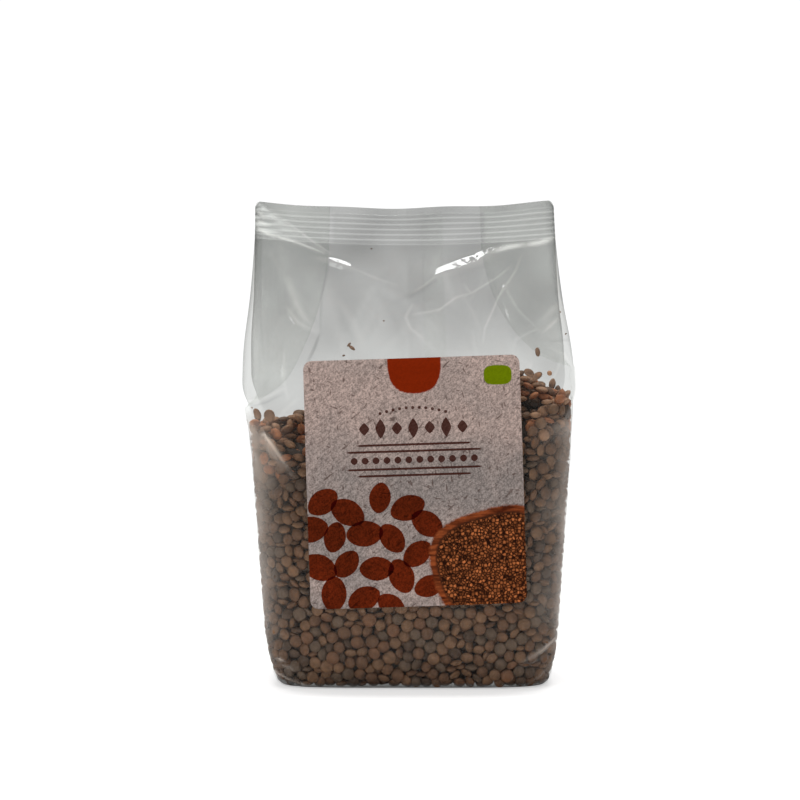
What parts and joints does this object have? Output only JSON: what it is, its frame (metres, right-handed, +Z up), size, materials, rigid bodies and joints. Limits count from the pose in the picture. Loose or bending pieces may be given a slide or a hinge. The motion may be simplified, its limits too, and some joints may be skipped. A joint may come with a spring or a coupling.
{
  "type": "bag of dry brown lentils",
  "caption": "Upright clear film bag with folded-in side gussets and a ribbed top seal, filled with dry brown lentils, with a square paper label on the front.",
  "frame": {"origin": "on the floor under the middle of the bag's overall size", "axes": "+Z up from the foot to the top seal, -Y out of the front with the label, +X to the right as seen from the front"},
  "size_m": [0.1225, 0.061, 0.1803],
  "materials": {
    "film_over_lentils": "clear glossy film over brown lentils",
    "label_paper": "uncoated mottled paper"
  },
  "bodies": {
    "root": {"bag": "film_over_lentils", "label": "label_paper"}
  },
  "joints": []
}
